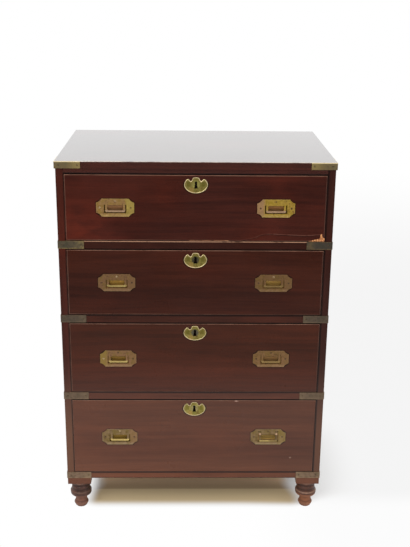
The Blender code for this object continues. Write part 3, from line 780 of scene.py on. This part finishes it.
def plate_marks(place, plate, pan, second, second_share, slot_shade_colour, bright):
    """Mask one end, the lower edge, the pan by its depth, and the slots round the bail.

    The end that has the second colour is the right one where its share is positive.
    """
    across, up, depth = from_plate(place, plate)
    reach = abs(across)
    end = across.ramp(0.022, 0.034) if second_share > 0 else across.ramp(-0.026, -0.038)
    edge = up.ramp(-0.0165, -0.0210) * place.noise(120.0, 3.0).ramp(0.35, 0.6, 0.3, 0.75)
    # The pan's colour is set against its shade: painted light where it is paler than the plate.
    pan_share = depth.ramp(0.0003, 0.0028) * reach.ramp(0.0225, 0.0205)
    outer = reach.ramp(slot_outside - slot_edge, slot_outside).most(up.ramp(-0.0118, -0.0124))
    slot = outer * depth.ramp(0.0003, 0.0008) * up.ramp(0.0100, 0.0085)
    return [
        (end * abs(second_share), second),
        (edge, bright),
        (pan_share * 0.85, pan),
        (slot, slot_shade_colour),
    ]


def lifted_marks(place, plate):
    """Mask painted shade on the lifted bail's plate: dark slot ends over its knuckles, and two dark
    bands across its pan.
    """
    across, up, _ = from_plate(place, plate)
    reach = abs(across)
    slot_end_shade = reach.band(0.0195, 0.0305, 0.0018) * up.band(0.0146, 0.0194, 0.0014)
    pan_shade_bands = up.band(0.0035, 0.0092, 0.0015).most(up.band(-0.0085, -0.0022, 0.0015))
    pan_shade_bands = pan_shade_bands * reach.ramp(0.0195, 0.0180)
    return [(pan_shade_bands * 0.55, srgb(104, 82, 34)), (slot_end_shade, srgb(44, 27, 8))]


def bail_marks(place, plate, bar, lifted):
    """Mask the bar of a bail, rubbed bright. On the lifted one, half the bar and the knuckles carry
    a painted highlight.
    """
    across, up, _ = from_plate(place, plate)
    share = up.ramp(bar_level + 0.003, bar_level)
    if not lifted:
        return [(share, bar)]
    knuckle_highlight = up.band(0.0070, 0.0130, 0.0015)
    return [(share * across.ramp(0.008, -0.004, 0.35, 1.0), bar), (knuckle_highlight, srgb(206, 168, 136))]


yellow_brass = tones((202, 166, 74), (180, 148, 54), (124, 90, 42), (214, 182, 110))
pink_brass = tones((184, 144, 92), (164, 130, 66), (128, 94, 58), (216, 178, 116))
worn_brass = tones((145, 109, 75), (132, 103, 58), (110, 80, 53), (164, 130, 97))
dull_brass = tones((138, 104, 68), (124, 96, 52), (106, 78, 48), (160, 126, 90))
grey_brass = tones((127, 104, 72), (118, 97, 53), (104, 80, 51), (150, 127, 98))
# The slot colours set how dark the slots read in their shade: the darker one is painted shade, the
# paler one painted light.
slot_shade_dark = srgb(110, 84, 28)
slot_shade_light = srgb(146, 112, 66)
pink_end = srgb(184, 140, 112)
gold_end = srgb(192, 168, 86)
olive_end = srgb(154, 130, 60)
brown_end = srgb(140, 104, 72)
pale_bar = srgb(200, 164, 130)
yellow_bar = srgb(196, 172, 106)
dull_bar = srgb(154, 126, 78)

# Brass and how far its tarnish spreads, pan, one end and its share, bar, slots.
plate_looks = {
    (1, "left"): (pink_brass, 0.35, srgb(158, 120, 86), gold_end, 0.8, pale_bar, slot_shade_dark),
    (1, "right"): (yellow_brass, 0.25, srgb(150, 108, 74), pink_end, -0.7, pale_bar, slot_shade_dark),
    (2, "left"): (worn_brass, 0.25, srgb(188, 152, 76), brown_end, 0.5, yellow_bar, slot_shade_light),
    (2, "right"): (dull_brass, 0.35, srgb(192, 158, 86), brown_end, 0.3, dull_bar, slot_shade_light),
    (3, "left"): (worn_brass, 0.25, srgb(168, 136, 68), olive_end, -0.6, yellow_bar, slot_shade_light),
    (3, "right"): (dull_brass, 0.40, srgb(176, 140, 92), brown_end, 0.4, dull_bar, slot_shade_light),
    (4, "left"): (grey_brass, 0.35, srgb(186, 154, 76), brown_end, 0.5, yellow_bar, slot_shade_dark),
    (4, "right"): (grey_brass, 0.35, srgb(196, 166, 96), olive_end, 0.2, yellow_bar, slot_shade_light),
}
for (number, hand), look in plate_looks.items():
    colours, spread, pan, end, end_share, bar, slot_shade_colour = look
    shift = (0.31 * number, 0.0, 0.17 if hand == "left" else 0.53)
    lifted = (number, hand) == (4, "right")
    plate = f"drawer_{number}_handle_plate_{hand}"
    finish = old_brass(f"{plate}_brass", plate, colours, spread, 0.0012, shift)
    place = place_in(finish)
    recolour(finish, plate_marks(place, plate, pan, end, end_share, slot_shade_colour, colours[3]))
    if lifted:
        recolour(finish, lifted_marks(place, plate))
    finish_node(plate, finish)
    bail = f"drawer_{number}_bail_{hand}"
    finish = old_brass(f"{bail}_brass", bail, colours, 0.1, 0.0006, shift)
    recolour(finish, bail_marks(place_in(finish), plate, bar, lifted))
    finish_node(bail, finish)


# The screws: slotted countersunk heads, filed flush when new and now dark, three to a plate
# and two to each leg of a strap.

plate_screw_radius = 0.0028
strap_screw_radius = 0.0026
plate_screw_spots = ((0.0, 0.0185), (0.042, 0.0), (-0.042, 0.0))
pale_spots = {
    (1, "left"): (0, 2), (2, "left"): (0,), (2, "right"): (0,),
    (3, "left"): (2,), (4, "left"): (0,),
}


def screw_heads(name, places, radius, body, material, seed):
    """Make the slotted heads of a group of screws, joined as one piece.

    Across the slot, u takes fixed stations, doubled at the slot's walls; along it, v runs from
    -1 to 1, so a point is (u, v sqrt(1 - u2)), in radii. The dome falls with the square of the
    way from its middle, and the slot lies a fixed depth below it. Each head is then turned and
    set on its place.
    """
    slot_half = 0.14
    inner = [-slot_half, -slot_half, slot_half, slot_half]
    across = np.array([-1.0, -0.92, -0.72, -0.42, *inner, 0.42, 0.72, 0.92, 1.0])
    sunk = np.array([0, 0, 0, 0, 0, 1, 1, 0, 0, 0, 0, 0])
    length = np.linspace(-1, 1, 9)[:, None]
    u = across + 0 * length
    v = length * np.sqrt(np.clip(1 - u ** 2, 0, None))
    apart = u ** 2 + v ** 2
    rise = 0.0006 * (1 - apart) - 0.0001 - 0.0007 * sunk * (apart < 0.93)
    random = np.random.default_rng(seed)
    heads = []
    for centre, normal in places:
        out = np.array(normal, float)
        up = np.array((0.0, 0.0, 1.0))
        side = np.cross(up, out)
        turn = random.uniform(0, np.pi)
        first = np.cos(turn) * side + np.sin(turn) * up
        second = np.cos(turn) * up - np.sin(turn) * side
        flat = radius * (u[..., None] * first + v[..., None] * second)
        heads.append(np.array(centre) + flat + rise[..., None] * out)
    made = surface(name, np.array(heads), crease=50.0)
    made.data.materials.append(material)
    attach(made, body)
    return made


def screw_metal(name, clean, dull):
    """Make the metal of old screw heads, dull brown with a few clean places."""
    made, shader, place = start_material(name)
    age = place.noise(400.0, 3.0)
    colour = age.ramp(0.4, 0.65).mix(clean, dull)
    rough = age.ramp(0.3, 0.7, 0.35, 0.6)
    feed(shader, {"Base Color": colour, "Roughness": rough, "Metallic": 0.8})
    return made


dark_screw = screw_metal("dark_screw_steel", srgb(96, 74, 56), srgb(58, 42, 34))
pale_screw = screw_metal("pale_screw_brass", srgb(206, 182, 146), srgb(150, 124, 84))
for number in range(1, 5):
    for hand, side in (("left", -1), ("right", 1)):
        low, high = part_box(f"drawer_{number}_handle_plate_{hand}")
        centre = (low + high) / 2
        pale = pale_spots.get((number, hand), ())
        for shade, metal in (("dark", dark_screw), ("pale", pale_screw)):
            spots = [s for i, s in enumerate(plate_screw_spots) if (i in pale) == (shade == "pale")]
            if not spots:
                continue
            places = [((centre.x + dx, case_front, centre.z + dz), (0, -1, 0)) for dx, dz in spots]
            name = f"drawer_{number}_handle_{shade}_screws_{hand}"
            body, seed = f"drawer_{number}", 10 * number + side
            screws = screw_heads(name, places, plate_screw_radius, body, metal, seed)


# The escutcheons: cast brass, let in flush round each keyhole, with a raised rim that is rubbed
# pale and a field gone olive.

shield_colours = tones((152, 138, 72), (128, 118, 52), (112, 90, 40))
ring_below_top = 0.0205

# The colour of the ring round each keyhole, and how strong it is.
keyhole_looks = {
    1: (srgb(176, 168, 92), 0.7),
    2: (srgb(58, 54, 48), 0.85),
    3: (srgb(84, 80, 72), 0.85),
    4: (srgb(150, 138, 100), 0.6),
}
for number, (ring, ring_share) in keyhole_looks.items():
    name = f"drawer_{number}_escutcheon"
    made, shader, place, aged = start_brass(f"{name}_brass", shield_colours, 0.4, 0.7)
    moved = from_point(place, 0.0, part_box(name)[1].z - ring_below_top)
    across, depth, up = moved.split()
    smears = place.noise(150.0, 3.0)
    lobes = abs(across).band(0.0130, 0.0270, 0.004) * up.band(-0.007, 0.010, 0.004)
    gold = across.band(-0.020, -0.004, 0.004) * up.ramp(-0.005, -0.011)
    ringed = moved.vector("LENGTH").ramp(0.0125, 0.0085) * smears.ramp(0.25, 0.5, 0.6, 1.0)
    crest = depth.ramp(-0.0005, -0.0010) * smears.ramp(0.3, 0.6, 0.6, 1.0)
    # The parts sunk behind the face, the keyhole's walls, are painted dark: painted shade.
    sunk = depth.ramp(0.0002, 0.0012)
    colour = (lobes * 0.65).mix(aged["Color"], srgb(104, 94, 28))
    colour = (gold * 0.6).mix(colour, srgb(176, 142, 78))
    colour = (ringed * ring_share).mix(colour, ring)
    colour = crest.mix(colour, srgb(212, 190, 154))
    colour = sunk.mix(colour, srgb(60, 44, 30))
    feed(shader, {"Base Color": colour, "Normal": bumped(aged["Height"], 0.3, 0.0002)})
    finish_node(name, made)


# The corner straps: sheet brass bent round the front corners at each divider and at the base,
# and a thinner pair on the edge of the top. All have gone dark, with a brighter edge here and
# there, and are held by screws in both legs.

strap_looks = {
    "strap_1_left": tones((86, 76, 58), (70, 64, 46), (60, 50, 38), (150, 128, 78)),
    "strap_1_right": tones((68, 60, 50), (60, 56, 44), (54, 44, 36), (112, 92, 56)),
}
for strap, colours in (
    ("strap_2", tones((84, 70, 56), (72, 62, 48), (60, 48, 38), (106, 90, 68))),
    ("strap_3", tones((98, 80, 62), (88, 72, 54), (74, 58, 44), (118, 98, 74))),
    ("strap_base", tones((112, 90, 70), (100, 82, 60), (86, 66, 50), (138, 116, 88))),
):
    strap_looks.update({f"{strap}_{hand}": colours for hand in ("left", "right")})
strap_screw = screw_metal("strap_screw_brass", srgb(96, 80, 58), srgb(72, 58, 44))


def strap_marks(place, low, high, bright, side):
    """Mask the lower edge of a strap by its level, and its inner end by its way from there."""
    x, _, z = place.split()
    rubbed = place.noise(70.0, 3.0).ramp(0.36, 0.6, 0.2, 1.0)
    edge = z.ramp(low.z + 0.0032, low.z + 0.0014) * rubbed
    end = abs(x - (low.x if side > 0 else high.x)).ramp(0.030, 0.006) * rubbed
    return [(end * 0.5, bright), (edge * 0.6, bright)]


first_front_screw = 0.0125
side_screws = (0.016, 0.058)


def strap_screws(name, side, x, y, level, thickness, last, seed):
    """Set two screws in each leg of a strap that is bent round a corner at x and y."""
    front, outer = y - thickness, side * (x + thickness)
    reaches = (first_front_screw, last)
    places = [((side * (x - reach), front, level), (0, -1, 0)) for reach in reaches]
    places += [((outer, y + reach, level), (side, 0, 0)) for reach in side_screws]
    screws = screw_heads(name, places, strap_screw_radius, "case", strap_screw, seed)


for number, (strap, colours) in enumerate(strap_looks.items()):
    shift = (0.37 * number, 0.0, 0.29 * number)
    low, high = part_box(strap)
    side = -1 if strap.endswith("left") else 1
    finish = old_brass(f"{strap}_brass", strap, colours, 0.3, 0.0009, shift, 0.45)
    recolour(finish, strap_marks(place_in(finish), low, high, colours[3], side))
    finish_node(strap, finish)
    corner = high.x if side > 0 else -low.x
    level = (low.z + high.z) / 2
    strap_screws(f"{strap}_screws", side, corner, low.y, level, 0.0, 0.064, 100 + number)

top_low, top_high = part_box("top_board")
strip_thickness = 0.0006
strip_length = 0.070
strip_low = top_high.z - 0.0194
strip_high = top_high.z - 0.0006
strip_bend = 0.0012
strip_inside = -0.0004
strip_cut = 0.00025
strip_colours = tones((114, 98, 66), (102, 92, 62), (88, 68, 50))


def bent_strip(name, side):
    """Carry a strip's cross-section along its path round a front corner of the top.

    The path runs along the front edge, round a small quarter circle and back along the side.
    Across it, the section is a rectangle of the strip's thickness and height with its outer
    corners cut, so a point is the path plus its outward normal by the thickness, at a level.
    """
    x, y = top_high.x, top_low.y
    turn = np.linspace(-np.pi / 2, 0, 6)
    outward = np.stack([np.cos(turn), np.sin(turn)], axis=1)
    path = np.array([x - strip_bend, y + strip_bend]) + strip_bend * outward
    path = np.concatenate([[(x - strip_length, y)], path, [(x, y + strip_length)]])
    outward = np.concatenate([[(0, -1)], outward, [(1, 0)]])
    outside = strip_thickness - strip_cut
    offsets = [strip_inside, outside, strip_thickness, strip_thickness, outside, strip_inside]
    lower, upper = strip_low + strip_cut, strip_high - strip_cut
    levels = np.array([strip_low, strip_low, lower, upper, strip_high, strip_high])
    across = path[:, None] + outward[:, None] * np.array(offsets)[:, None]
    levels = np.broadcast_to(levels[:, None], (*across.shape[:2], 1))
    points = np.concatenate([across, levels], axis=-1)
    points[..., 0] *= side
    if side > 0:
        points = points[:, ::-1]
    return surface(name, points, wrap=True, caps=True, crease=30.0)


for hand, side in (("left", -1), ("right", 1)):
    name = f"top_strap_{hand}"
    strip = bent_strip(name, side)
    made, shader, place, aged = start_brass(f"{name}_brass", strip_colours, 0.3, 0.5)
    x, _, z = place.split()
    inner = abs(x).ramp(0.352, 0.318) * 0.5
    upper = z.ramp(strip_high - 0.0026, strip_high - 0.0006)
    colour = inner.mix(aged["Color"], srgb(160, 138, 82))
    feed(shader, {"Base Color": upper.mix(colour, srgb(228, 208, 156))})
    strip.data.materials.append(made)
    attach(strip, "case")
    name, middle = f"top_strap_screws_{hand}", (strip_low + strip_high) / 2
    corner = (top_high.x, top_low.y)
    strap_screws(name, side, *corner, middle, strip_thickness, 0.062, 200 + side)


# The studio: a pale floor that runs out to white, an even white surround, two large soft lamps
# in front, and the camera a little above the chest and to the left of its middle.

floor_mesh = bpy.data.meshes.new("floor")
floor_mesh.from_pydata([(-9, -9, 0), (9, -9, 0), (9, 9, 0), (-9, 9, 0)], [], [(0, 1, 2, 3)])
floor = bpy.data.objects.new("floor", floor_mesh)
bpy.context.collection.objects.link(floor)

# A painted shadow: the paper's colour goes brown under the chest, in steps from its front to its
# back, with its deepest part painted paler again as painted light.
pure_white, black = (1.0, 1.0, 1.0, 1.0), (0.0, 0.0, 0.0, 1.0)
pale_paper = (0.93, 0.925, 0.915, 1.0)
edge_shade = (0.70, 0.545, 0.325, 1.0)
front_shade = (0.50, 0.355, 0.215, 1.0)
deep_shade = (0.94, 0.67, 0.42, 1.0)
floor_paper, shader, place = start_material("floor_paper")
tree = place.tree
x, y, _ = place.split()
side_reach, deep_reach = abs(x), abs(y)
side_end = y.ramp(-0.10, -0.20, 0.318, 0.348)
between = side_reach.ramp(side_end, side_end - 0.05)
shade = y.ramp(-0.128, -0.070).mix(front_shade, deep_shade)
shade = deep_reach.ramp(0.140, 0.132).mix(edge_shade, shade)
shade = deep_reach.ramp(0.245, 0.205).mix(pale_paper, shade)
paper = between.mix(pale_paper, shade)
feed(shader, {"Base Color": paper, "Roughness": 0.9, "Specular IOR Level": 0.0})

# Seen by the camera, the floor turns white past the chest's own shadow. To the right it is painted
# a little grey, a painted shade that is deepest beside the chest, where the white is also reached
# more slowly.
right_side = x.ramp(0.12, 0.45)
behind_front = y.ramp(-0.25, -0.14)
right_shade = right_side * y.ramp(5.0, 1.6, 0.0, 0.09) * (behind_front * 0.7 + 0.3)
backdrop = right_shade.mix(pure_white, black)
past_side = (side_reach - 0.29).most(0.0)
past_front = (deep_reach - 0.195).most(0.0)
outside = (past_side * past_side + past_front * past_front).maths("SQRT")
whiten = outside.ramp(0.0, right_side * behind_front * 0.22 + 0.055)

# Seen in a mirror, it is dim far in front of the chest, as in a dark room.
fade = y.ramp(-0.85, -1.45, 0.0, 0.76) + y.ramp(-1.45, -3.0, 0.0, 0.20)
dim_light = (1.0, 0.96, 0.92, 1.0)
rays = {socket.name: Value(socket) for socket in add(tree, "LightPath").outputs}
lit = Value(shader.outputs[0])
for share, colour, strength in (
    (rays["Is Camera Ray"] * whiten, backdrop, 1.0),
    (rays["Is Glossy Ray"] * fade, dim_light, 0.02),
):
    light = Value(add(tree, "Emission", {"Color": colour, "Strength": strength}).outputs[0])
    lit = Value(add(tree, "MixShader", {0: share, 1: lit, 2: light}).outputs[0])
feed(tree.nodes["Material Output"], {"Surface": lit})
floor.data.materials.append(floor_paper)

# The surround is white to the camera. Mirrors see it dark in front of the chest, where a room
# would be, and paler overhead.
world = bpy.data.worlds.new("white_surround")
bpy.context.scene.world = world
world.use_nodes = True
tree = world.node_tree
plain_level = 0.92
rays = {socket.name: Value(socket) for socket in add(tree, "LightPath").outputs}
y, z = Value(add(tree, "TexCoord").outputs["Generated"]).split()[1:]
overhead = z.ramp(0.18, 0.44, 0.03, 0.50)
behind = y.ramp(-0.35, 0.05, overhead, 1.0)
mirrored = rays["Is Glossy Ray"].most(rays["Is Transmission Ray"])
level = mirrored * (behind - plain_level) + plain_level
level = rays["Is Camera Ray"].blend(level, 1.0)
feed(tree.nodes["Background"], {"Color": pure_white, "Strength": level})


def soft_lamp(name, place, target, size, power):
    """Hang a large square lamp and aim it at a point."""
    data = bpy.data.lights.new(name, "AREA")
    data.size = size
    data.energy = power
    lamp = bpy.data.objects.new(name, data)
    bpy.context.collection.objects.link(lamp)
    lamp.location = place
    aim = np.array(target) - np.array(place)
    tilt = math.atan2(math.hypot(aim[0], aim[1]), -aim[2])
    lamp.rotation_euler = (tilt, 0.0, math.atan2(aim[1], aim[0]) - math.pi / 2)


soft_lamp("key_lamp", (-1.6, -2.8, 2.6), (0.0, -0.2, 0.6), 2.2, 56.0)
soft_lamp("fill_lamp", (2.0, -2.4, 2.0), (0.0, -0.2, 0.5), 2.2, 26.0)

pitch = math.radians(18.161)
yaw = math.radians(1.279)
roll = math.radians(0.632)
level_right = np.array([math.cos(yaw), -math.sin(yaw), 0.0])
ahead = np.array([math.sin(yaw), math.cos(yaw), 0.0]) * math.cos(pitch)
ahead[2] = -math.sin(pitch)
level_up = np.cross(level_right, ahead)
right = math.cos(roll) * level_right + math.sin(roll) * level_up
up = -math.sin(roll) * level_right + math.cos(roll) * level_up
lens = bpy.data.cameras.new("camera")
lens.sensor_fit = "AUTO"
lens.sensor_width = 36.0
lens.lens = 60.03
camera = bpy.data.objects.new("camera", lens)
bpy.context.collection.objects.link(camera)
pose = np.eye(4)
pose[:3, :3] = np.stack([right, up, -ahead], axis=1)
pose[:3, 3] = (-0.0269, -2.6642, 1.5460)
camera.matrix_world = Matrix(pose.tolist())
bpy.context.scene.camera = camera
bpy.context.scene.view_settings.view_transform = "Standard"
